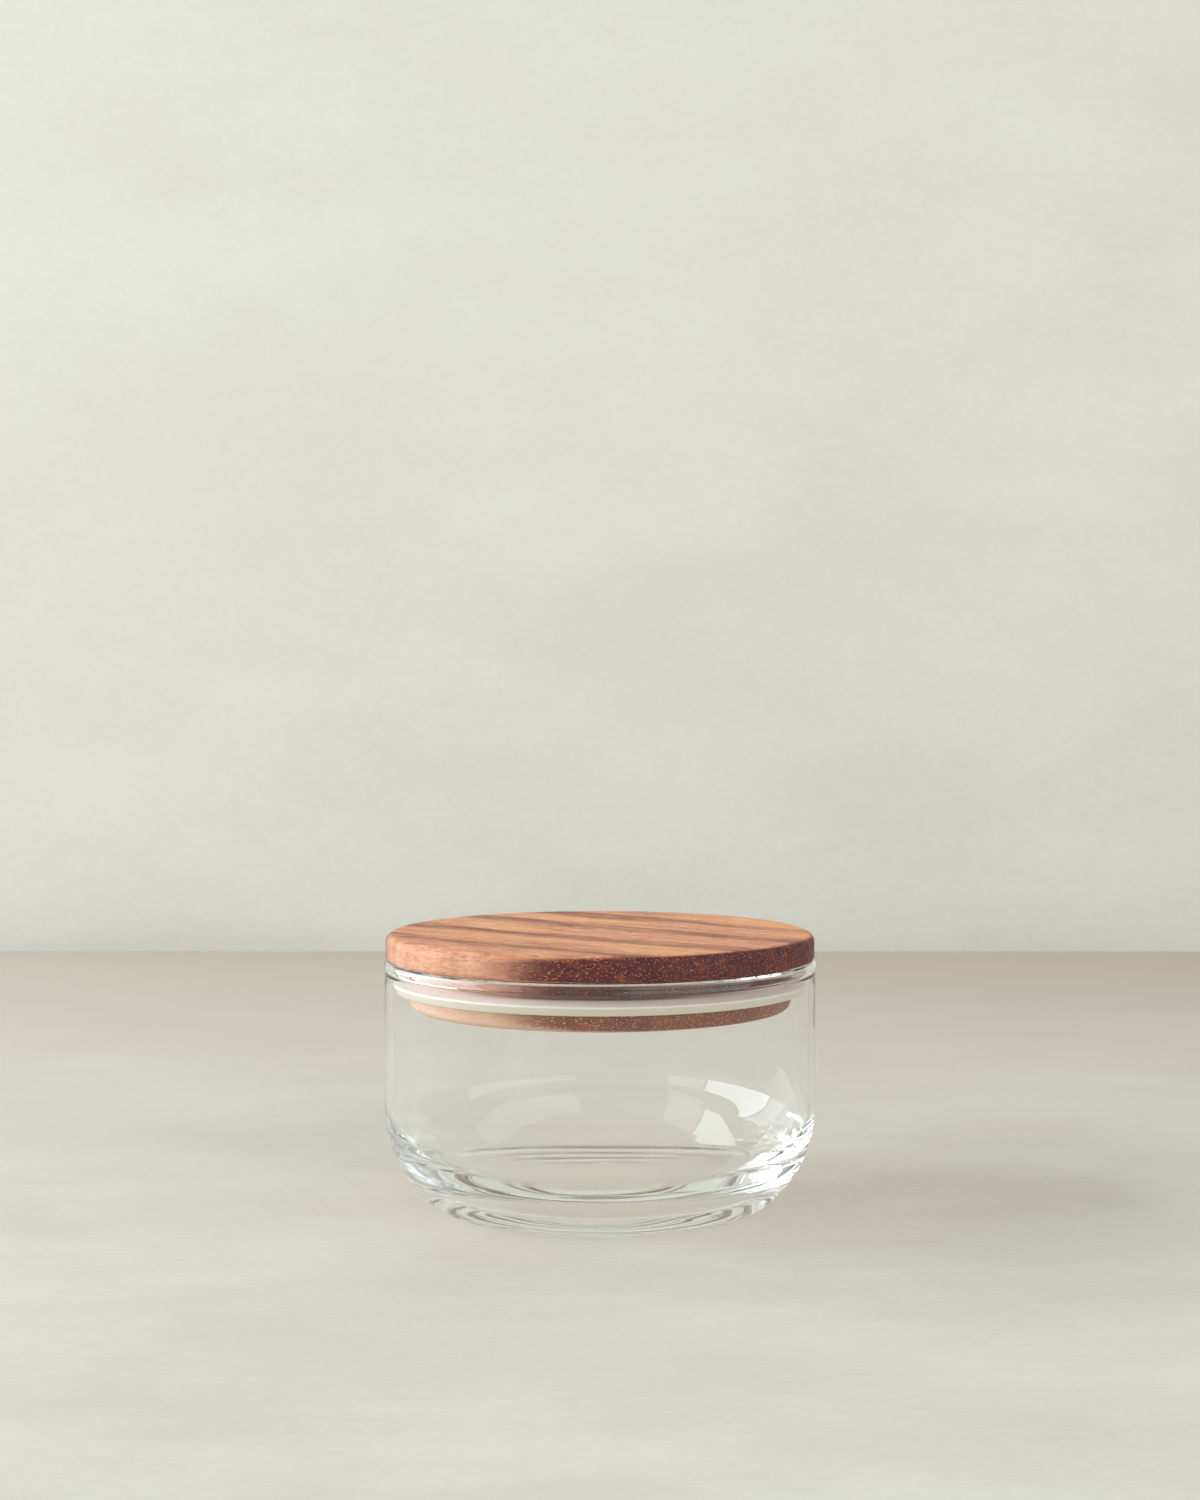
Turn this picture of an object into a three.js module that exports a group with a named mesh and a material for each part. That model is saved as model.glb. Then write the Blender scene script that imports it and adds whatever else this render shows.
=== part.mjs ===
// A squat food canister: a round glass jar, a turned wooden lid that rests on its rim,
// and a silicone ring that seals the lid's plug against the inside of the glass.
// Millimetres, +Z up. The origin is the middle of the foot, where the jar stands.
import * as THREE from 'three';

// ---- driving dimensions ----
const RIM_HEIGHT = 67.9;          // top of the glass
const RIM_RADIUS = 60.5;          // outside of the rounded bead round the mouth
const BEAD_HEIGHT = 3.2;
const WALL_OUTER_RADIUS = 60.3;
const WALL_THICKNESS = 2.0;
const HEEL_RADIUS = 34;           // big outer curve from the wall down to the foot
const HEEL_TOP = 27;              // height where that curve leaves the wall
const FOOT_EDGE_RADIUS = 7;       // small curve from the heel on to the foot
const FOOT_RING_WIDTH = 11;       // flat ring that the jar stands on
const PUNT_DEPTH = 1.0;           // how far the middle of the base is pushed up
const FLOOR_HEIGHT = 5.5;         // inside floor above the table
const FLOOR_RADIUS = 29.5;        // the flat part of the inside floor
const BOWL_TOP = 27;              // height where the inside curve leaves the wall
const BOWL_POWER = 2.1;           // 2 would make that curve a quarter of an oval

const LID_TOP = 75;
const LID_RADIUS = 60;
const LID_THICKNESS = 6.8;        // the disc that rests on the rim
const LID_TOP_EDGE = 2.2;         // rounding of the disc's upper edge
const LID_LOWER_EDGE = 0.6;       // rounding of the disc's lower edge
const PLUG_RADIUS = 53.4;         // the part of the lid that goes down into the jar
const PLUG_BOTTOM = 54.6;
const PLUG_EDGE = 2.2;
const GROOVE_DEPTH = 2.6;

const GASKET_BOTTOM = 59.5;
const GASKET_ROOT_HEIGHT = 3.4;   // height of the ring where it enters the groove
const GASKET_RADIUS = 57.9;
const LIP_EDGE = 0.45;            // rounding of its outer lip
const LIP_MIDDLE = 2.05;          // height of the widest part of the lip above its foot
const LIP_REACH = 1.3;            // how far the lip leans out over its foot
const LIP_LEAN = 29;              // degrees

const FIT_GAP = 0.3;              // left between pieces that touch
const AROUND = 64;                // flats round every turned surface

// ---- sizes that follow ----
const wallInnerRadius = WALL_OUTER_RADIUS - WALL_THICKNESS;
const lidUnderside = LID_TOP - LID_THICKNESS;
const grooveRadius = PLUG_RADIUS - GROOVE_DEPTH;
const grooveBottom = GASKET_BOTTOM - FIT_GAP;
const grooveTop = GASKET_BOTTOM + GASKET_ROOT_HEIGHT + FIT_GAP;

const QUARTER = Math.PI / 2;

// Points on an arc in the turning plane, where x is the radius and y is the height.
function arc(centreRadius, centreHeight, radius, fromAngle, toAngle, steps) {
  const points = [];
  for (let i = 0; i <= steps; i += 1) {
    const angle = fromAngle + (toAngle - fromAngle) * (i / steps);
    points.push([
      centreRadius + radius * Math.cos(angle),
      centreHeight + radius * Math.sin(angle),
    ]);
  }
  return points;
}

// The inside curve from the wall to the floor, a quarter of |x/a|^n + |y/b|^n = 1.
function bowl(steps) {
  const points = [];
  for (let i = 0; i <= steps; i += 1) {
    const angle = QUARTER * (i / steps);
    const across = Math.max(Math.cos(angle), 0) ** (2 / BOWL_POWER);
    const down = Math.sin(angle) ** (2 / BOWL_POWER);
    points.push([
      FLOOR_RADIUS + (wallInnerRadius - FLOOR_RADIUS) * across,
      BOWL_TOP - (BOWL_TOP - FLOOR_HEIGHT) * down,
    ]);
  }
  return points;
}

// Turns an outline of [radius, height] points about the Z axis, as on a lathe.
function turned(name, outline, look) {
  const points = outline.map(([radius, height]) => new THREE.Vector2(radius, height));
  const geometry = new THREE.LatheGeometry(points, AROUND);
  geometry.rotateX(QUARTER);
  const mesh = new THREE.Mesh(geometry, new THREE.MeshStandardMaterial(look));
  mesh.name = name;
  return mesh;
}

// The jar: push-up, foot ring, foot edge, heel, wall, bead, and back down the inside.
function glassJar() {
  const heelCentre = WALL_OUTER_RADIUS - HEEL_RADIUS;
  const drop = HEEL_TOP - FOOT_EDGE_RADIUS;
  const reach = Math.sqrt((HEEL_RADIUS - FOOT_EDGE_RADIUS) ** 2 - drop ** 2);
  const footOuter = heelCentre + reach;
  const footInner = footOuter - FOOT_RING_WIDTH;
  const joinAngle = -Math.atan2(drop, reach);

  const lipRadius = (RIM_RADIUS - wallInnerRadius) / 2;
  const lipCentre = wallInnerRadius + lipRadius;
  const beadFoot = RIM_HEIGHT - BEAD_HEIGHT;

  return turned('glass_jar', [
    [0, PUNT_DEPTH],
    [footInner - 4 * PUNT_DEPTH, PUNT_DEPTH],
    [footInner, 0],
    ...arc(footOuter, FOOT_EDGE_RADIUS, FOOT_EDGE_RADIUS, -QUARTER, joinAngle, 4),
    ...arc(heelCentre, HEEL_TOP, HEEL_RADIUS, joinAngle, 0, 9).slice(1),
    [WALL_OUTER_RADIUS, beadFoot],
    [RIM_RADIUS, beadFoot + BEAD_HEIGHT / 4],
    ...arc(lipCentre, RIM_HEIGHT - lipRadius, lipRadius, 0, 2 * QUARTER, 8),
    ...bowl(10),
    [0, FLOOR_HEIGHT],
  ], { color: 0xdfe5e3, roughness: 0.04, metalness: 0, transparent: true, opacity: 0.35 });
}

// The lid: a disc with soft edges over a plug, and a groove round the plug for the ring.
function woodenLid() {
  return turned('wooden_lid', [
    [0, PLUG_BOTTOM],
    ...arc(PLUG_RADIUS - PLUG_EDGE, PLUG_BOTTOM + PLUG_EDGE, PLUG_EDGE, -QUARTER, 0, 4),
    [PLUG_RADIUS, grooveBottom],
    [grooveRadius, grooveBottom],
    [grooveRadius, grooveTop],
    [PLUG_RADIUS, grooveTop],
    [PLUG_RADIUS, lidUnderside],
    ...arc(LID_RADIUS - LID_LOWER_EDGE, lidUnderside + LID_LOWER_EDGE, LID_LOWER_EDGE,
      -QUARTER, 0, 2),
    ...arc(LID_RADIUS - LID_TOP_EDGE, LID_TOP - LID_TOP_EDGE, LID_TOP_EDGE, 0, QUARTER, 5),
    [0, LID_TOP],
  ], { color: 0xb97f56, roughness: 0.55, metalness: 0 });
}

// The ring: its root fills the groove, and its lip leans out and up to a rounded edge.
function siliconeGasket() {
  const lean = THREE.MathUtils.degToRad(LIP_LEAN);
  const rootRadius = grooveRadius + FIT_GAP;
  const rootTop = GASKET_BOTTOM + GASKET_ROOT_HEIGHT;
  return turned('silicone_gasket', [
    [rootRadius, GASKET_BOTTOM],
    ...arc(GASKET_RADIUS - LIP_REACH, GASKET_BOTTOM + LIP_EDGE, LIP_EDGE, -QUARTER, -lean, 2),
    ...arc(GASKET_RADIUS - LIP_EDGE, GASKET_BOTTOM + LIP_MIDDLE, LIP_EDGE, -lean, 0, 1),
    ...arc(GASKET_RADIUS - LIP_EDGE, GASKET_BOTTOM + LIP_MIDDLE, LIP_EDGE, 0, QUARTER, 3)
      .slice(1),
    [PLUG_RADIUS, rootTop],
    [rootRadius, rootTop],
    [rootRadius, GASKET_BOTTOM],
  ], { color: 0xeceee8, roughness: 0.45, metalness: 0 });
}

const canister = new THREE.Group();
canister.add(glassJar(), woodenLid(), siliconeGasket());

export default canister;
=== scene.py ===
# %% [markdown]
# # A squat glass canister with a turned wooden lid
# The canister is three pieces: a clear glass jar, a wooden lid whose plug goes down into the
# jar, and a white silicone ring that seals the plug against the glass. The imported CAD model
# says where everything is and how it moves. This script makes the fine surfaces and the
# finishes, and each new piece rides on the CAD body that it belongs to.

import math

import bpy
import numpy as np
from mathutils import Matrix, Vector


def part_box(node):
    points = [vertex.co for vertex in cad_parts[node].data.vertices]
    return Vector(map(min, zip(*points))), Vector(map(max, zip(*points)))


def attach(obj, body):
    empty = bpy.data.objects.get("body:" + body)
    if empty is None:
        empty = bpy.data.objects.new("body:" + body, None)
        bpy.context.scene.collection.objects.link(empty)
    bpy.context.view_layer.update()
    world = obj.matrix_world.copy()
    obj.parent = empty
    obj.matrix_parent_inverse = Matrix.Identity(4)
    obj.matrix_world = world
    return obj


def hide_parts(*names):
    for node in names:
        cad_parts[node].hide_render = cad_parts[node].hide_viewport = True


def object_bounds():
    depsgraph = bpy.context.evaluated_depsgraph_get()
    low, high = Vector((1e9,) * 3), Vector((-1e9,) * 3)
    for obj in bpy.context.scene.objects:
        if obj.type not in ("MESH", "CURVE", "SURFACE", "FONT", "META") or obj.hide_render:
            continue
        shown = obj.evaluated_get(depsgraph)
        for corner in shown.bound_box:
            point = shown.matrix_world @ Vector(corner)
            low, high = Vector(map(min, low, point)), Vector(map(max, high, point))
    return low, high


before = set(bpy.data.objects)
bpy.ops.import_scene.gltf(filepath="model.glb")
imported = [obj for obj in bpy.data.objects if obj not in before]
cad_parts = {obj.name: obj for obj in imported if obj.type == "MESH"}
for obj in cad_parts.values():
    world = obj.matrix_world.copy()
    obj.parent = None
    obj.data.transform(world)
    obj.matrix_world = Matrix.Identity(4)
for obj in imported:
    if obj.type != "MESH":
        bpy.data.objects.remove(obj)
cad_low, cad_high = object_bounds()
MM = 0.001
print("CAD box, mm:", [round(x / MM, 1) for x in (*cad_low, *cad_high)])

# %% [markdown]
# ## The camera
# The canister is looked at almost level, from a little over half a metre away. A wide lens
# close up would swell the near side of the rim, and a long one from far off would flatten it,
# so the lens is a plain 50 mm. The eye is only about 63 mm above the lid, which makes the
# lid's top a thin ellipse.

# %% Camera
LID_TO_EYE = 63.1 * MM
EYE_DISTANCE = 583 * MM
TILT_DOWN = math.radians(1.19)
LENS, SENSOR_WIDTH = 49.85, 36

camera_data = bpy.data.cameras.new("camera")
camera_data.lens = LENS
camera_data.sensor_width = SENSOR_WIDTH
camera = bpy.data.objects.new("camera", camera_data)
camera.location = (0, -EYE_DISTANCE, cad_high.z + LID_TO_EYE)
camera.rotation_euler = (math.pi / 2 - TILT_DOWN, 0, 0)
bpy.context.scene.collection.objects.link(camera)
bpy.context.scene.camera = camera
print("eye height, mm:", round(camera.location.z / MM, 1))

# %% [markdown]
# ## Outlines
# Every piece is turned about one axis, so each is an outline carried round a circle. The
# Screw modifier could carry it too, but a surface worked out as arrays can also be made a
# little uneven, as real glass is. An outline is made of straight runs and arcs in the turning
# plane, as [radius, height]. Glass and satin wood show every flat, so the arcs get many points.


# %% Arcs and runs
def arc(centre, radius, start, end, steps):
    """Points centre + radius * (cos t, sin t), with t going from start to end, in degrees.
    The radius may be two numbers, across and up, which makes an oval."""
    t = np.radians(np.linspace(start, end, steps + 1))[:, None]
    return np.array(centre) + np.array(radius) * np.hstack([np.cos(t), np.sin(t)])


def run(start, end, steps):
    """Points on a straight line from start to end."""
    t = np.linspace(0, 1, steps + 1)[:, None]
    return np.array(start) * (1 - t) + np.array(end) * t


def outline(*parts):
    """The parts one after another, without the points that repeat, in metres."""
    points = np.vstack(parts)
    steps = np.hypot(*np.diff(points, axis=0).T)
    return points[np.append(True, steps > 1e-6)] * MM


# %% [markdown]
# Carrying the outline round the axis gives a grid of points: one row for each point of the
# outline, one column for each angle. Neighbours in the grid make four-sided faces. Where the
# outline starts and ends on the axis, a whole row falls on one point, so that row is a single
# vertex with a fan of triangles. A ring's outline closes on itself instead.


# %% Turn an outline into a mesh
AROUND = 320


def turn(name, points, wave=None, around=AROUND):
    """Point (i, j) is (r_i cos a_j, r_i sin a_j, z_i), where a_j = 2 pi j / around.
    wave(r, z, a) gives small offsets (dr, dz) that make the surface less than perfect."""
    ring = points[0, 0] > 1e-9
    rows = points if ring else points[1:-1]
    angle = np.linspace(0, 2 * np.pi, around, endpoint=False)
    r, a = np.meshgrid(rows[:, 0], angle, indexing="ij")
    z = np.repeat(rows[:, 1:], around, axis=1)
    if wave:
        dr, dz = wave(r, z, a)
        r, z = r + dr, z + dz
    grid = np.stack([r * np.cos(a), r * np.sin(a), z], axis=-1).reshape(-1, 3)

    count = len(rows)
    last = count if ring else count - 1
    i, j = np.meshgrid(np.arange(last), np.arange(around), indexing="ij")
    up, right = (i + 1) % count, (j + 1) % around
    corners = [i * around + j, i * around + right, up * around + right, up * around + j]
    faces = np.stack(corners, axis=-1).reshape(-1, 4).tolist()
    if not ring:
        column = np.arange(around)
        beside = (column + 1) % around
        first, top = len(grid), len(grid) + 1
        end = (count - 1) * around
        faces += np.stack([np.full(around, first), beside, column], axis=-1).tolist()
        faces += np.stack([np.full(around, top), end + column, end + beside], axis=-1).tolist()
        poles = np.array([[0, 0, points[0, 1]], [0, 0, points[-1, 1]]])
        grid = np.vstack([grid, poles])

    mesh = bpy.data.meshes.new(name)
    mesh.from_pydata(grid.tolist(), [], faces)
    mesh.shade_smooth()
    piece = bpy.data.objects.new(name, mesh)
    bpy.context.scene.collection.objects.link(piece)
    print(name, len(grid), "points, volume", round(volume(piece) / MM ** 3 / 1000, 1), "cm3")
    return piece


def volume(piece):
    """A sixth of the sum of a . (b x c) over the triangles: positive if faces point outwards."""
    mesh = piece.data
    mesh.calc_loop_triangles()
    places = np.empty(len(mesh.vertices) * 3)
    mesh.vertices.foreach_get("co", places)
    triangles = np.empty(len(mesh.loop_triangles) * 3, int)
    mesh.loop_triangles.foreach_get("vertices", triangles)
    a, b, c = places.reshape(-1, 3)[triangles].reshape(-1, 3, 3).transpose(1, 0, 2)
    return float((a * np.cross(b, c)).sum() / 6)


# %% [markdown]
# ## Shader maths
# A finish is a tree of nodes, and most of them only add or multiply. They could be placed one
# by one, but then the sum is hard to read. This class wraps a node's output, so that
# `1 - mask * 0.3` adds the Math nodes by itself. Colours go through Mix nodes, because a Math
# node would turn them grey.


# %% Node helpers
class Value:
    """A node's output, with Python's operators."""

    def __init__(self, finish, socket):
        self.finish = finish
        self.socket = socket

    def math(self, operation, *others, first=None):
        numbers = [self if first is None else first, *others]
        return self.finish.add("ShaderNodeMath", {"operation": operation}, dict(enumerate(numbers)))

    def __add__(self, other):
        return self.math("ADD", other)

    def __sub__(self, other):
        return self.math("SUBTRACT", other)

    def __mul__(self, other):
        return self.math("MULTIPLY", other)

    def __truediv__(self, other):
        return self.math("DIVIDE", other)

    def __rsub__(self, other):
        return self.math("SUBTRACT", self, first=other)

    def __rtruediv__(self, other):
        return self.math("DIVIDE", self, first=other)

    __radd__ = __add__
    __rmul__ = __mul__

    def rise(self, low, high):
        """0 below low, 1 above high, and a smooth step between."""
        settings = {"interpolation_type": "SMOOTHSTEP"}
        return self.finish.add("ShaderNodeMapRange", settings, {0: self, 1: low, 2: high})


class Finish:
    """A material that is built node by node."""

    def __init__(self, name):
        self.material = bpy.data.materials.new(name)
        self.material.use_nodes = True
        self.tree = self.material.node_tree
        self.tree.nodes.clear()

    def add(self, kind, settings=None, sockets=None, out=0):
        """One node: its settings first, then the values or links of its sockets."""
        node = self.tree.nodes.new(kind)
        for key, setting in (settings or {}).items():
            if key == "stops":
                self.set_stops(node.color_ramp, setting)
            else:
                setattr(node, key, setting)
        for key, given in (sockets or {}).items():
            if isinstance(given, Value):
                self.tree.links.new(given.socket, node.inputs[key])
            else:
                node.inputs[key].default_value = given
        return Value(self, node.outputs[out]) if node.outputs else node

    @staticmethod
    def set_stops(ramp, stops):
        while len(ramp.elements) < len(stops):
            ramp.elements.new(1.0)
        for element, (place, colour) in zip(ramp.elements, stops):
            element.position = place
            element.color = (*colour, 1)

    def place(self, unit=MM, turned=0.0):
        """The piece's own coordinates, in the unit given, turned about Z in degrees."""
        own = self.add("ShaderNodeTexCoord", out=3)
        scale = (1 / unit,) * 3
        rotation = (0, 0, math.radians(turned))
        return self.add("ShaderNodeMapping", None, {0: own, "Rotation": rotation, "Scale": scale})

    def split(self, vector):
        xyz = self.add("ShaderNodeSeparateXYZ", None, {0: vector})
        return [Value(self, xyz.socket.node.outputs[k]) for k in range(3)]

    def join(self, x, y, z):
        return self.add("ShaderNodeCombineXYZ", None, {0: x, 1: y, 2: z})

    def noise(self, vector, detail=2.0, roughness=0.5):
        """Smooth random values between about 0.25 and 0.75, one bump per unit of vector."""
        sockets = {"Vector": vector, "Scale": 1.0, "Detail": detail, "Roughness": roughness}
        return self.add("ShaderNodeTexNoise", None, sockets)

    def cells(self, vector):
        """Distance to the nearest of many scattered points, about one per unit cube."""
        return self.add("ShaderNodeTexVoronoi", None, {"Vector": vector, "Scale": 1.0})

    def mix(self, share, first, second):
        """Colour first where share is 0, and second where it is 1."""
        settings = {"data_type": "RGBA"}
        first, second = ((*c, 1) if isinstance(c, tuple) else c for c in (first, second))
        return self.add("ShaderNodeMix", settings, {0: share, 6: first, 7: second}, out=2)

    def ramp(self, share, stops):
        return self.add("ShaderNodeValToRGB", {"stops": stops}, {0: share})

    def bump(self, height, depth):
        """Raises the surface by height times depth, in metres, as far as light can tell."""
        sockets = {"Height": height, "Distance": depth, "Strength": 1.0}
        return self.add("ShaderNodeBump", None, sockets)

    def output(self, surface, volume=None):
        sockets = {"Surface": surface}
        if volume:
            sockets["Volume"] = volume
        self.add("ShaderNodeOutputMaterial", None, sockets)
        print(self.material.name, len(self.tree.nodes), "nodes")
        return self.material


# %% [markdown]
# ## The glass jar
# The jar is pressed and then fire-polished. Its wall is 2 mm thick, but the heel, where the
# wall turns in to the foot, is much thicker: the outside keeps a big round curve, and the
# inside follows a smaller one, near an oval, down to a flat floor. That wedge of glass gathers
# the light of the window into bright streaks. The mouth ends in a rounded bead, and the middle
# of the base is pushed up a little, so that the jar stands on a ring.
#
# A thin shell with a Solidify modifier would be the quick way, but its heel would be as thin
# as its wall and stay dull. So the inside has an outline of its own.

# %% Jar outline
jar_low, jar_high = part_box("glass_jar")
RIM_RADIUS = jar_high.x / MM
RIM_HEIGHT = jar_high.z / MM
BEAD_PROUD, WALL_THICKNESS = 0.2, 2.0
WALL_OUTER = RIM_RADIUS - BEAD_PROUD
WALL_INNER = WALL_OUTER - WALL_THICKNESS
HEEL, HEEL_TOP = 34.0, 27.0
FOOT_EDGE = 7.0
FOOT_RING = 11.0
PUNT = 1.0
BOWL_TOP, BOWL_FOOT, BOWL_POWER = 27.0, 29.5, 2.1
FLOOR = 5.5
NOSE_WIDE, NOSE_HIGH = 1.25, 1.65
NOSE_START, NOSE_END = -36, 228
WAIST = 0.05
WAIST_FROM, WAIST_TO = 5.0, 0.5
MOUTH_EASE = 1.2


def jar_outline():
    """Up the outside from the middle of the base, over the rim, and down the inside."""
    heel_centre = WALL_OUTER - HEEL
    drop = HEEL_TOP - FOOT_EDGE
    reach = math.sqrt((HEEL - FOOT_EDGE) ** 2 - drop ** 2)
    join = -math.degrees(math.atan2(drop, reach))
    foot_outer = heel_centre + reach
    foot_inner = foot_outer - FOOT_RING
    nose_centre = (RIM_RADIUS - NOSE_WIDE, RIM_HEIGHT - NOSE_HIGH)
    nose = arc(nose_centre, (NOSE_WIDE, NOSE_HIGH), NOSE_START, NOSE_END, 36)
    bead_foot, mouth = nose[0, 1], nose[-1, 1]
    return outline(
        push_up(foot_inner),
        arc((foot_outer, FOOT_EDGE), FOOT_EDGE, -90, join, 10),
        arc((heel_centre, HEEL_TOP), HEEL, join, 0, 30),
        run((WALL_OUTER, HEEL_TOP), (WALL_OUTER, bead_foot - WAIST_FROM), 14),
        ease((WALL_OUTER, bead_foot - WAIST_FROM), (WALL_OUTER - WAIST, bead_foot - WAIST_TO)),
        nose,
        ease(nose[-1], (WALL_INNER, mouth - MOUTH_EASE)),
        run((WALL_INNER, mouth - MOUTH_EASE), (WALL_INNER, BOWL_TOP), 18),
        bowl(),
        run((BOWL_FOOT, FLOOR), (0, FLOOR), 14),
    )


def bowl():
    """A quarter of (x / a)^n + (y / b)^n = 1, with n = BOWL_POWER, from the wall to the floor."""
    t = np.radians(np.linspace(0, 90, 61))[:, None]
    across = (WALL_INNER - BOWL_FOOT) * np.cos(t) ** (2 / BOWL_POWER)
    down = (BOWL_TOP - FLOOR) * np.sin(t) ** (2 / BOWL_POWER)
    return np.hstack([BOWL_FOOT + across, BOWL_TOP - down])


def push_up(foot_inner):
    """The base rises in a shallow dome, PUNT (1 - (r / R)^2)^2, with no edge to catch light."""
    t = np.linspace(0, 1, 25)[:, None]
    return np.hstack([foot_inner * t, PUNT * (1 - t ** 2) ** 2])


def ease(start, end):
    """From start to end on half a cosine wave, so that it leaves and arrives straight up."""
    t = np.linspace(0, 1, 11)[:, None]
    share = np.hstack([(1 - np.cos(np.pi * t)) / 2, t])
    return np.array(start) * (1 - share) + np.array(end) * share


# %% [markdown]
# Pressed glass is never quite even. The inside was shaped by a plunger that sat a hair off
# centre, and the floor cooled with slow swells. They are about a tenth of a millimetre, too
# small to see as shape, but they break up what is seen through the heel. A bump in the finish
# could do the same, but the jar is made from a formula anyway, so the mesh itself is uneven.

# %% Make the jar
SLOW_SWELL, QUICK_SWELL = 0.08, 0.03
SWELL_TOP, SWELL_HEART = 32 * MM, 20 * MM


def glass_swell(r, z, a):
    """Two sines of the angle a for the radius, and two of a and r for the height. They are on
    the inside only, and fade out up the wall and towards the middle of the floor."""
    inside = (r < (WALL_INNER + 0.05) * MM) & (z > (FLOOR - 0.01) * MM)
    low = np.clip(1 - z / SWELL_TOP, 0, 1)
    radial = SLOW_SWELL * np.sin(2 * a + 0.7) + QUICK_SWELL * np.sin(5 * a + 2.1)
    heights = SLOW_SWELL * np.sin(3 * a + 70 * r) + QUICK_SWELL * np.sin(5 * a - 110 * r)
    centre = np.clip(r / SWELL_HEART, 0, 1)
    return inside * radial * low * centre * MM, inside * heights * low * centre * MM


jar = turn("jar_glass", jar_outline(), glass_swell)

# %% [markdown]
# Clear glass is one dielectric: it bends what is behind it, and mirrors more and more towards
# its edges. The Glass shader does that, and so does the Principled one with full transmission,
# which other programs can read as well. Soda glass is faintly blue-green, and only long paths
# through the heel show it, so the tint is absorption inside the glass and not paint on its
# surface. A very slow bump stands for the polish. Rays that look for a lamp from the wood or
# the table don't bend on the way, so for them the glass is plain see-through, a little grey,
# and it casts a pale shadow.

# %% Glass finish
GLASS_WHITE = (0.995, 1.0, 0.997, 1)
PALE_SHADOW = (0.945, 0.940, 0.928, 1)
SODA_TINT, SODA_DENSITY = (0.80, 0.93, 0.95, 1), 3.0
SHADOW_RAY, DIFFUSE_RAY = 1, 2


def clear_glass():
    finish = Finish("clear_glass")
    place = finish.place(30 * MM)
    drift = finish.noise(place, detail=1.0)
    normal = finish.bump(drift, 0.06 * MM)
    glass = finish.add("ShaderNodeBsdfPrincipled", None, {
        "Base Color": GLASS_WHITE,
        "Roughness": 0.0,
        "IOR": 1.51,
        "Transmission Weight": 1.0,
        "Normal": normal,
    })
    clear = finish.add("ShaderNodeBsdfTransparent", None, {"Color": PALE_SHADOW})
    shadow_ray = finish.add("ShaderNodeLightPath", out=SHADOW_RAY)
    diffuse_ray = finish.add("ShaderNodeLightPath", out=DIFFUSE_RAY)
    surface = finish.add("ShaderNodeMixShader", None, {0: diffuse_ray, 1: glass, 2: clear})
    surface = finish.add("ShaderNodeMixShader", None, {0: shadow_ray, 1: surface, 2: clear})
    tint = finish.add("ShaderNodeVolumeAbsorption", None, {
        "Color": SODA_TINT,
        "Density": SODA_DENSITY,
    })
    return finish.output(surface, tint)


jar.data.materials.append(clear_glass())
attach(jar, "jar")
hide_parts("glass_jar")

# %% [markdown]
# ## The silicone ring
# The ring is moulded in soft white silicone. Its root sits in a groove round the plug. Its
# face leans out and up to a rounded lip, just short of the glass, and from there the top
# slopes back up to the plug. The lip could be a piece of its own, but one closed outline has
# no seam to hide.

# %% Ring outline and mesh
ring_low, ring_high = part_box("silicone_gasket")
RING_RADIUS = ring_high.x / MM
RING_FOOT, RING_TOP = ring_low.z / MM, ring_high.z / MM
lid_low, lid_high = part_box("wooden_lid")
LID_RADIUS = lid_high.x / MM
LID_TOP = lid_high.z / MM
PLUG_FOOT = lid_low.z / MM
DISC_THICKNESS, GROOVE_DEPTH = 6.8, 2.6
LID_UNDER = LID_TOP - DISC_THICKNESS
PLUG_RADIUS = 53.4
GROOVE = PLUG_RADIUS - GROOVE_DEPTH
FIT_GAP = 0.3
FACE_LEAN, LIP_END = 29, 74
SLOPE_START, SLOPE_END = (1.2, 0.62), (0.9, 0.12)
TOP_EDGE = 0.4


def ring_outline():
    """Out along the underside, up the leaning face, round the lip, in along the sloping top,
    and down the root. The face leans out by FACE_LEAN degrees, so the lip is the widest part."""
    lip, toe = 0.45, 0.40
    lip_middle = RING_FOOT + 2.05
    root = GROOVE + FIT_GAP
    corner = 0.25
    foot = RING_RADIUS - 1.3
    slope_low = (RING_RADIUS - SLOPE_START[0], lip_middle + SLOPE_START[1])
    slope_high = (PLUG_RADIUS + SLOPE_END[0], RING_TOP - SLOPE_END[1])
    return outline(
        run((root + corner, RING_FOOT), (foot, RING_FOOT), 12),
        arc((foot, RING_FOOT + toe), toe, -90, -FACE_LEAN, 6),
        arc((RING_RADIUS - lip, lip_middle), lip, -FACE_LEAN, LIP_END, 12),
        run(slope_low, slope_high, 8),
        run((PLUG_RADIUS + TOP_EDGE, RING_TOP), (root + corner, RING_TOP), 6),
        arc((root + corner, RING_TOP - corner), corner, 90, 180, 5),
        arc((root + corner, RING_FOOT + corner), corner, 180, 270, 5),
    )[:-1]


ring = turn("silicone_ring", ring_outline())

# %% [markdown]
# Silicone is soft to the light as well: some of it goes in, scatters and comes out close by.
# White paint alone would look hard, so the finish has a little subsurface scattering. The
# slope above the lip is plain white. The face below it leans down, so it is painted duller
# and yellower as painted shade, and a step on the height parts the two. The rest is a faint
# clouding and a fine matt grain.

# %% Silicone finish
CLOUD_DARK, CLOUD_LIGHT = (0.93, 0.91, 0.84), (0.97, 0.96, 0.91)
# The face's darker, yellower white is painted shade: the face leans down, away from the light.
FACE_PAINTED_SHADE = (0.76, 0.71, 0.58)
FACE_TOP, SLOPE_FOOT = RING_FOOT + 1.9, RING_FOOT + 2.4


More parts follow.
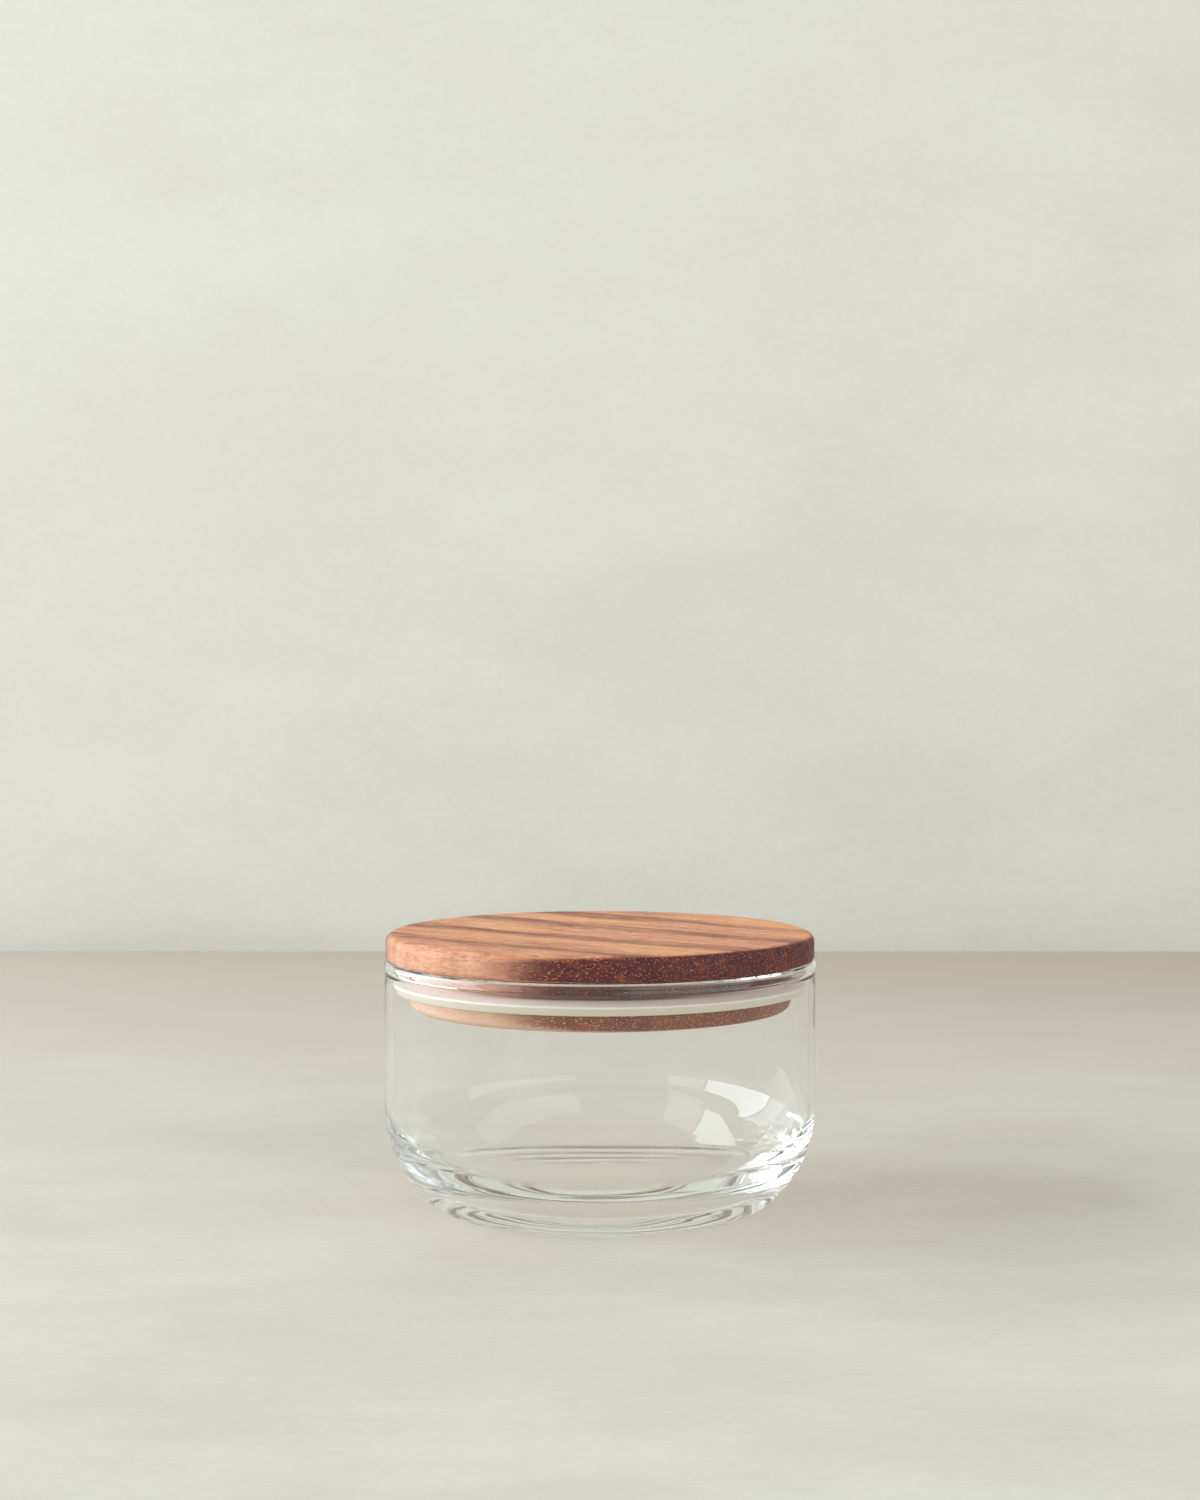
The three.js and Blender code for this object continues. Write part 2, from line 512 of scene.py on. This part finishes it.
def white_silicone():
    finish = Finish("white_silicone")
    cloud = finish.noise(finish.place(6 * MM), detail=2.0)
    grain = finish.noise(finish.place(0.25 * MM), detail=2.0)
    colour = finish.mix(cloud, CLOUD_DARK, CLOUD_LIGHT)
    height = finish.split(finish.place(MM))[2]
    # Painted shade on the face below the lip, up to the step at FACE_TOP.
    face = 1 - height.rise(FACE_TOP, SLOPE_FOOT)
    colour = finish.mix(face * 0.85, colour, FACE_PAINTED_SHADE)
    rough = 0.38 + cloud * 0.18
    silicone = finish.add("ShaderNodeBsdfPrincipled", None, {
        "Base Color": colour,
        "Roughness": rough,
        "IOR": 1.41,
        "Subsurface Weight": 0.20,
        "Subsurface Radius": (1.0, 0.95, 0.85),
        "Subsurface Scale": 1.5 * MM,
        "Normal": finish.bump(grain, 0.01 * MM),
    })
    return finish.output(silicone)


ring.data.materials.append(white_silicone())
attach(ring, "gasket")
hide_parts("silicone_gasket")

# %% [markdown]
# ## The wooden lid
# The lid is turned from one flat-sawn board, disc and plug in one. The disc has an eased
# upper edge and a nearly sharp lower one, and the plug under it has a groove for the ring.
# The groove could be cut with a Boolean modifier, but a turned outline has it for nothing,
# with clean edges that are broken by a quarter of a millimetre.

# %% Lid outline and mesh
PLUG_EDGE, DISC_LOWER_EDGE, DISC_TOP_EDGE = 2.2, 0.6, 2.2
GROOVE_EDGE = 0.25


def lid_outline():
    """Out along the plug's underside, up past the groove, round the disc, in along the top."""
    edge, lower, top, broken = PLUG_EDGE, DISC_LOWER_EDGE, DISC_TOP_EDGE, GROOVE_EDGE
    groove_low, groove_high = RING_FOOT - FIT_GAP, RING_TOP + FIT_GAP
    return outline(
        run((0, PLUG_FOOT), (PLUG_RADIUS - edge, PLUG_FOOT), 30),
        arc((PLUG_RADIUS - edge, PLUG_FOOT + edge), edge, -90, 0, 10),
        run((PLUG_RADIUS, PLUG_FOOT + edge), (PLUG_RADIUS, groove_low - broken), 4),
        arc((PLUG_RADIUS - broken, groove_low - broken), broken, 0, 90, 4),
        run((PLUG_RADIUS - broken, groove_low), (GROOVE, groove_low), 4),
        run((GROOVE, groove_low), (GROOVE, groove_high), 6),
        run((GROOVE, groove_high), (PLUG_RADIUS - broken, groove_high), 4),
        arc((PLUG_RADIUS - broken, groove_high + broken), broken, -90, 0, 4),
        run((PLUG_RADIUS, groove_high + broken), (PLUG_RADIUS, LID_UNDER), 6),
        run((PLUG_RADIUS, LID_UNDER), (LID_RADIUS - lower, LID_UNDER), 8),
        arc((LID_RADIUS - lower, LID_UNDER + lower), lower, -90, 0, 6),
        run((LID_RADIUS, LID_UNDER + lower), (LID_RADIUS, LID_TOP - top), 8),
        arc((LID_RADIUS - top, LID_TOP - top), top, 0, 90, 12),
        run((LID_RADIUS - top, LID_TOP), (0, LID_TOP), 40),
    )


lid = turn("lid_wood", lid_outline())

# %% [markdown]
# Where the edge cuts across the fibres it shows end grain: the open ends of the pores soak
# up oil, so it is much darker than the face. How far a point's surface cuts across the
# fibres is the part of its normal that lies along the grain. That is stored on the mesh, so
# that the pattern turns with the lid.

# %% Mark the end grain
GRAIN_TURN = 50.0
grain = math.radians(GRAIN_TURN)
grain_way = np.array([math.cos(grain), -math.sin(grain), 0])
normals = np.empty(len(lid.data.vertices) * 3)
lid.data.vertices.foreach_get("normal", normals)
across = np.abs(normals.reshape(-1, 3) @ grain_way)
lid.data.attributes.new("across", "FLOAT", "POINT").data.foreach_set("value", across.astype("f4"))
print("end grain share of the surface:", round(float((across > 0.5).mean()), 2))

# %% [markdown]
# The pattern is worked out in the board's own directions: along the grain, across it, and up,
# in millimetres. A scan of wood could be laid over the lid, but it would smear on the edge.
# A pattern in space runs on from the face into the edge, as in a real board.
# Everything is stretched along the grain. The growth rings lie almost flat and run a little
# askew to the fibres, so the stripes have a direction of their own. They come from a wave
# whose phase wanders, broken up by slow noise. Fibres are fine noise, and pores are scattered
# points stretched into short tubes: dashes on the face, dots on the end grain.

# %% Wood pattern
FIGURE_TURN = 36.0
STRIPE_EVERY, STRIPE_PHASE = 26.0, 1.57


class Board(Finish):
    """The finish of one board: where a point is in it, and what the wood does there."""

    def __init__(self, name):
        super().__init__(name)
        self.along, self.across, self.up = self.split(self.place(MM, FIGURE_TURN))
        wander = self.grown(60, 26, 20, detail=2.0) - 0.5
        self.level = self.across + wander * 15 + self.up * 0.30
        self.stripe = self.stripes()
        self.streak = self.layered(24, 2.0, self.up / 1.4, detail=4.0, roughness=0.65)
        self.fibre = self.grown(3, 0.5, 0.4, detail=2.0, roughness=0.7)
        shimmer = self.noise(self.join(self.along / 5, self.across / 4, 4.1), detail=3.0, roughness=0.7)
        self.ripple = (self.streak - 0.5) * 1.45 + (self.fibre - 0.5) * 1.0 + (shimmer - 0.5) * 0.6
        tubes = self.cells(self.join(self.along / 3.0, self.across / 0.55, self.up / 0.55))
        self.pores = 1 - tubes.rise(0.14, 0.34)
        # 1 on the plug and 0 from the neck up: where the plug gets painted light. The neck under the
        #                                       disc is left out, as it stands in shade.
        self.low = 1 - self.up.rise(58, 64)

    def grown(self, long, wide, high, **look):
        """Noise with bumps of this length, width and height."""
        return self.noise(self.join(self.along / long, self.across / wide, self.up / high), **look)

    def layered(self, long, wide, third, **look):
        """Noise that follows the growth rings. third picks a layer of its own."""
        return self.noise(self.join(self.along / long, self.level / wide, third), **look)

    def stripes(self):
        """1 in a dark stripe, 0 between: a cosine of the level, of varying width, broken up."""
        wave = (self.level * (2 * math.pi / STRIPE_EVERY) - STRIPE_PHASE).math("COSINE")
        width = self.layered(150, 25, 7.3, detail=1.0) - 0.5
        broken = self.layered(26, 4.0, 5.1, detail=3.0).rise(0.30, 0.60)
        return (wave + width * 2.6).rise(-0.35, 1.05) * (0.45 + broken * 0.65)


# %% [markdown]
# The face is a ramp of warm browns that the ripple and the stripes choose from. Over it go
# gold patches between the stripes, dark pores, and painted highlights: small bright glints
# where the fibres shine.
# The turned side of the disc gets a plainer brown, and the plug is the palest: that is painted
# light, for the window light that reaches it through the glass.

# %% Colour of the face
FACE_BROWNS = [
    (0.08, (0.26, 0.095, 0.055)),
    (0.28, (0.41, 0.165, 0.095)),
    (0.50, (0.62, 0.262, 0.142)),
    (0.72, (0.76, 0.345, 0.190)),
    (0.92, (0.90, 0.480, 0.280)),
]
# The bright glint colour is a painted highlight.
GOLD, PORE_DARK, PAINTED_GLINT = (0.92, 0.450, 0.170), (0.26, 0.095, 0.050), (1.0, 0.720, 0.520)
# The pale plug colour on this line is painted light, for the window light that reaches the plug through
# the glass.
TURNED_SIDE, PLUG_PAINTED_LIGHT = (0.54, 0.29, 0.21), (1.0, 0.74, 0.54)


def face_colour(board, tone):
    gold = board.layered(45, 15, 2.2, detail=1.0).rise(0.45, 0.66)
    specks = board.cells(board.join(board.along / 1.6, board.across / 0.7, 3.3))
    painted_glints = 1 - specks.rise(0.08, 0.24)
    turned_side = 1 - board.up.rise(72, 75)
    face = board.ramp(tone, FACE_BROWNS)
    face = board.mix(gold * (1 - board.stripe) * 0.55, face, GOLD)
    face = board.mix(board.pores * 0.40, face, PORE_DARK)
    face = board.mix(painted_glints * 0.40, face, PAINTED_GLINT)
    face = board.mix(turned_side * 0.40, face, TURNED_SIDE)
    # Painted light: the plug is made paler.
    return board.mix(board.low * 0.40, face, PLUG_PAINTED_LIGHT)


# %% [markdown]
# The end grain is a ramp of its own, from almost black to a red brown. There the pores are
# the light part, as small golden dots. On the plug the end grain and its dots are paler still,
# as painted light.

# %% Colour of the end grain
CUT_BROWNS = [
    (0.12, (0.075, 0.022, 0.030)),
    (0.40, (0.150, 0.040, 0.034)),
    (0.62, (0.360, 0.078, 0.022)),
    (0.90, (0.560, 0.175, 0.060)),
]
# The plug's end grain colour and its pale dots are painted light as well.
PLUG_CUT_PAINTED_LIGHT, OIL_DOT, PLUG_DOT_PAINTED_LIGHT = (0.25, 0.046, 0.010), (0.72, 0.240, 0.080), (1.0, 0.560, 0.300)


def cut_colour(board):
    # On the plug, board.low raises the tone: painted light.
    tone = 0.27 + board.low * 0.24 + board.ripple * 0.8 - board.stripe * 0.12
    cut = board.ramp(tone, CUT_BROWNS)
    cut = board.mix(board.low * 0.50, cut, PLUG_CUT_PAINTED_LIGHT)
    cut = board.mix(board.pores * 0.85, cut, OIL_DOT)
    return board.mix(board.pores * board.low * 0.60, cut, PLUG_DOT_PAINTED_LIGHT)


# %% [markdown]
# Face and end grain meet where the stored share passes about a half, with a ragged edge.
# Fibres, streaks and pores also raise and sink the surface by up to a tenth of a millimetre.


# %% Wood finish
def oiled_wood():
    board = Board("oiled_wood")
    tone = 0.62 - board.stripe * 0.40 + board.ripple
    share = board.add("ShaderNodeAttribute", {"attribute_name": "across"}, out=2)
    ends = (share + (board.streak - 0.5) * 0.40).rise(0.30, 0.62)
    height = board.fibre * 0.5 + board.streak * 0.5 - board.pores * 0.7
    wood = board.add("ShaderNodeBsdfPrincipled", None, {
        "Base Color": board.mix(ends, face_colour(board, tone), cut_colour(board)),
        "Roughness": 0.62 - tone * 0.12 + board.pores * 0.10,
        "IOR": 1.45,
        "Specular IOR Level": 0.35,
        "Normal": board.bump(height, 0.10 * MM),
    })
    return board.output(wood)


lid.data.materials.append(oiled_wood())
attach(lid, "lid")
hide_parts("wooden_lid")

# %% [markdown]
# ## The table and the wall
# The jar stands on a plain pale table, in front of a plain board. Both are matt, with the
# faint mottling of limewash, so that the glass has something quiet to bend. One sheet that
# bends up at the back would hide the horizon, but a real table has a far edge, and it shows
# through the glass, so the two are separate sheets.

# %% Table and wall
TABLE_BACK = 587 * MM
TABLE_DROP = 0.1 * MM
# The table is painted darker and warmer towards the back: painted shade, where the light falls off.
SHADE_FROM, SHADE_FULL = -100 * MM, 520 * MM


def flat_sheet(name, corners):
    """A flat four-sided sheet through its corners."""
    mesh = bpy.data.meshes.new(name)
    mesh.from_pydata(corners, [], [(0, 1, 2, 3)])
    sheet = bpy.data.objects.new(name, mesh)
    bpy.context.scene.collection.objects.link(sheet)
    return sheet


def limewash(name, light, dark, size, back_shade=None):
    """Two close tones in long soft patches, and a third, darker and warmer one towards the back, which
    is painted shade.
    """
    finish = Finish(name)
    x, y, z = finish.split(finish.place(size))
    slow = finish.noise(finish.join(x * 0.5, y, z), detail=5.0, roughness=0.65)
    fine = finish.noise(finish.join(x * 14, y * 30, z * 22), detail=4.0, roughness=0.7)
    share = (slow * 0.70 + fine * 0.30).rise(0.34, 0.66)
    wash = finish.mix(share, dark, light)
    # Painted shade: the table darkens towards the back.
    if back_shade:
        wash = finish.mix((y * size).rise(SHADE_FROM, SHADE_FULL), wash, back_shade)
    matt = finish.add("ShaderNodeBsdfPrincipled", None, {
        "Base Color": wash,
        "Roughness": 0.85,
        "Specular IOR Level": 0.2,
    })
    return finish.output(matt)


# %% Lay the table and stand the backdrop behind it
HALF_WIDTH, FRONT = 2.1, -2.4
# The third table tone is painted shade for the back of the table.
TABLE_TONES, TABLE_PAINTED_SHADE = ((0.75, 0.74, 0.67), (0.67, 0.65, 0.57)), (0.57, 0.52, 0.44)
BACKDROP_HALF, BACKDROP_LOW, BACKDROP_TOP = 0.55, -0.4, 1.4
BACKDROP_TONES = (0.80, 0.80, 0.74), (0.75, 0.74, 0.68)
BACKDROP_GAP = 20 * MM

table = flat_sheet("table", [
    (-HALF_WIDTH, FRONT, -TABLE_DROP), (HALF_WIDTH, FRONT, -TABLE_DROP),
    (HALF_WIDTH, TABLE_BACK, -TABLE_DROP), (-HALF_WIDTH, TABLE_BACK, -TABLE_DROP),
])
table.data.materials.append(limewash("table_wash", *TABLE_TONES, 60 * MM, back_shade=TABLE_PAINTED_SHADE))

wall_y = TABLE_BACK + BACKDROP_GAP
wall = flat_sheet("wall", [
    (-BACKDROP_HALF, wall_y, BACKDROP_LOW), (BACKDROP_HALF, wall_y, BACKDROP_LOW),
    (BACKDROP_HALF, wall_y, BACKDROP_TOP), (-BACKDROP_HALF, wall_y, BACKDROP_TOP),
])
wall.data.materials.append(limewash("wall_wash", *BACKDROP_TONES, 90 * MM))
print("table, m:", 2 * HALF_WIDTH, "by", round(TABLE_BACK - FRONT, 2))

# %% [markdown]
# ## The light
# A window on the left, which starts low and reaches a little behind the jar, makes the bright
# side of the lid, the long soft shadow, and the panes mirrored in the bowl of the glass. Two
# dimmer panes carry it on to the front and the back. A dim white card on the right draws the
# faint veil in the bowl. The rest is the even light of a pale room. A modelled room with a
# sky outside could do the same, but area lights are sampled directly and leave less grain.


# %% A light that faces a point
def panel(name, place, target, width, height, radiance, colour):
    """A rectangular light that faces target. Its power is radiance times pi times its area."""
    print(name, "m:", round(width, 2), "by", round(height, 2), "radiance", radiance)
    data = bpy.data.lights.new(name, "AREA")
    data.shape = "RECTANGLE"
    data.size, data.size_y = width, height
    data.energy = radiance * math.pi * width * height
    data.color = colour
    light = bpy.data.objects.new(name, data)
    way = np.array(target) - np.array(place)
    light.location = place
    flat = math.hypot(way[0], way[1])
    light.rotation_euler = (math.atan2(flat, -way[2]), 0, math.atan2(-way[0], way[1]))
    light.visible_camera = False
    bpy.context.scene.collection.objects.link(light)


# %% Window, card and room
SKY = (0.87, 0.94, 1.0)
WINDOW_X, SILL, HEAD = -2.2, 0.10, 1.85


def pane(name, front, back, radiance):
    """An upright piece of the window wall, from front to back in Y."""
    middle = (front + back) / 2
    height = (SILL + HEAD) / 2
    place, target = (WINDOW_X, middle, height), (0, middle, height)
    panel(name, place, target, back - front, HEAD - SILL, radiance, SKY)


WINDOW_LIGHT, BACK_LIGHT, FRONT_LIGHT = 6.9, 2.4, 1.8
pane("window", -0.94, 1.16, WINDOW_LIGHT)
pane("back_pane", 1.26, 2.40, BACK_LIGHT)
pane("front_pane", -2.50, -1.02, FRONT_LIGHT)

CARD_PLACE, CARD_TARGET = (1.15, -0.95, 0.85), (0, 0, 0.20)
CARD_WIDTH, CARD_HEIGHT = 2.4, 1.3
CARD_LIGHT, CARD_COLOUR = 1.6, (0.90, 0.95, 1.0)
panel("card", CARD_PLACE, CARD_TARGET, CARD_WIDTH, CARD_HEIGHT, CARD_LIGHT, CARD_COLOUR)

ROOM_COLOUR = (1.0, 0.91, 0.79, 1)
ROOM_LIGHT = 0.34
world = bpy.data.worlds.new("room")
bpy.context.scene.world = world
world.use_nodes = True
world.node_tree.nodes["Background"].inputs["Color"].default_value = ROOM_COLOUR
world.node_tree.nodes["Background"].inputs["Strength"].default_value = ROOM_LIGHT
bpy.context.scene.view_settings.view_transform = "Standard"

# %% [markdown]
# In the thick heel a ray may be mirrored inside the glass dozens of times before it gets out.
# With the usual limit of twelve it is given up and comes back black, which paints dark bands
# that clear glass doesn't have.

# %% Let light find its way out of the heel
GLASS_BOUNCES = 48
cycles = bpy.context.scene.cycles
cycles.max_bounces = GLASS_BOUNCES
cycles.transmission_bounces = GLASS_BOUNCES
cycles.glossy_bounces = GLASS_BOUNCES
cycles.transparent_max_bounces = GLASS_BOUNCES
cycles.caustics_refractive = False
cycles.caustics_reflective = False
print("light may turn", GLASS_BOUNCES, "times")
